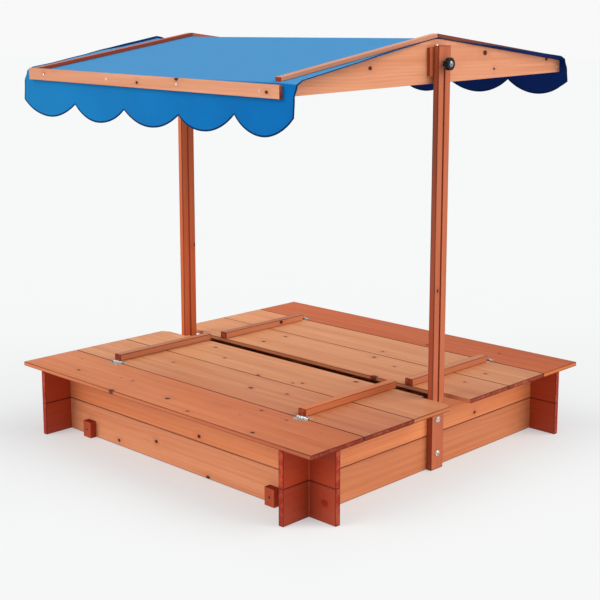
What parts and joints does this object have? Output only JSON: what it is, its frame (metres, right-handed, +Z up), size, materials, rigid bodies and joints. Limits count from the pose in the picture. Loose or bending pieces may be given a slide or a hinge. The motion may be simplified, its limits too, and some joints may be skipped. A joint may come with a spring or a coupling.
{
  "type": "sandbox with cover",
  "caption": "Square wooden sandbox with a hinged board cover and a blue scalloped canopy on two slotted posts, adjustable in height and tilt.",
  "frame": {"origin": "on the ground, at the middle of the box", "axes": "+Z up, +X along the cover boards to the right, +Y from the front to the back"},
  "size_m": [1.2, 1.1942, 1.1816],
  "materials": {
    "frame_wood": "red-brown stained softwood, satin",
    "cover_wood": "red-brown stained softwood, satin, a little paler",
    "canopy_cloth": "woven polyester, matt",
    "knob_plastic": "black moulded",
    "knob_metal": "plain zinc",
    "zinc_hardware": "zinc plated"
  },
  "bodies": {
    "frame": {"back_foot_blocks": "frame_wood", "back_lower_wall": "frame_wood", "back_seat_board": "cover_wood", "back_upper_wall": "frame_wood", "front_foot_blocks": "frame_wood", "front_lower_wall": "frame_wood", "front_seat_board": "cover_wood", "front_upper_wall": "frame_wood", "hinge_pins": "zinc_hardware", "left_lower_wall": "frame_wood", "left_post": "frame_wood", "left_upper_wall": "frame_wood", "post_bolts": "zinc_hardware", "post_nuts": "zinc_hardware", "post_washers": "zinc_hardware", "right_lower_wall": "frame_wood", "right_post": "frame_wood", "right_upper_wall": "frame_wood", "seat_board_screws": "zinc_hardware", "seat_hinge_leaves": "zinc_hardware", "seat_hinge_screws": "zinc_hardware", "wall_cleats": "frame_wood", "wall_screws": "zinc_hardware"},
    "front_lid": {"front_lid_hinge_leaves": "zinc_hardware", "front_lid_hinge_screws": "zinc_hardware", "front_lid_inner_board": "cover_wood", "front_lid_left_batten": "frame_wood", "front_lid_outer_board": "cover_wood", "front_lid_right_batten": "frame_wood", "front_lid_screws": "zinc_hardware"},
    "back_lid": {"back_lid_hinge_leaves": "zinc_hardware", "back_lid_hinge_screws": "zinc_hardware", "back_lid_inner_board": "cover_wood", "back_lid_left_batten": "frame_wood", "back_lid_outer_board": "cover_wood", "back_lid_right_batten": "frame_wood", "back_lid_screws": "zinc_hardware"},
    "carriage": {"clamp_bolts": "zinc_hardware", "clamp_washers": "zinc_hardware"},
    "roof": {"back_eave_rail": "frame_wood", "back_fascia": "frame_wood", "canopy": "canopy_cloth", "frame_screws": "zinc_hardware", "front_eave_rail": "frame_wood", "front_fascia": "frame_wood", "left_back_slope_batten": "frame_wood", "left_front_slope_batten": "frame_wood", "left_gable": "frame_wood", "left_spacer": "frame_wood", "ridge_rail": "frame_wood", "right_back_slope_batten": "frame_wood", "right_front_slope_batten": "frame_wood", "right_gable": "frame_wood", "right_spacer": "frame_wood", "roof_screws": "zinc_hardware"},
    "left_knob": {"left_knob": "knob_plastic", "left_knob_cap": "knob_metal"},
    "right_knob": {"right_knob": "knob_plastic", "right_knob_cap": "knob_metal"}
  },
  "joints": [
    {"name": "front_lid_hinge", "type": "hinge", "parent": "frame", "child": "front_lid", "pos_m": [0, -0.3885, 0.2072], "axis": [1, 0, 0], "range_deg": [0, 131]},
    {"name": "back_lid_hinge", "type": "hinge", "parent": "frame", "child": "back_lid", "pos_m": [0, 0.4015, 0.2072], "axis": [-1, 0, 0], "range_deg": [0, 131]},
    {"name": "roof_height", "type": "slide", "parent": "frame", "child": "carriage", "axis": [0, 0, 1], "range_m": [-0.44, 0]},
    {"name": "roof_tilt", "type": "hinge", "parent": "carriage", "child": "roof", "pos_m": [0, 0, 1.104], "axis": [1, 0, 0], "range_deg": [-33, 30]},
    {"name": "left_knob_turn", "type": "hinge", "parent": "carriage", "child": "left_knob", "pos_m": [-0.535, 0, 1.104], "axis": [1, 0, 0], "continuous": true},
    {"name": "right_knob_turn", "type": "hinge", "parent": "carriage", "child": "right_knob", "pos_m": [0.535, 0, 1.104], "axis": [1, 0, 0], "continuous": true}
  ]
}
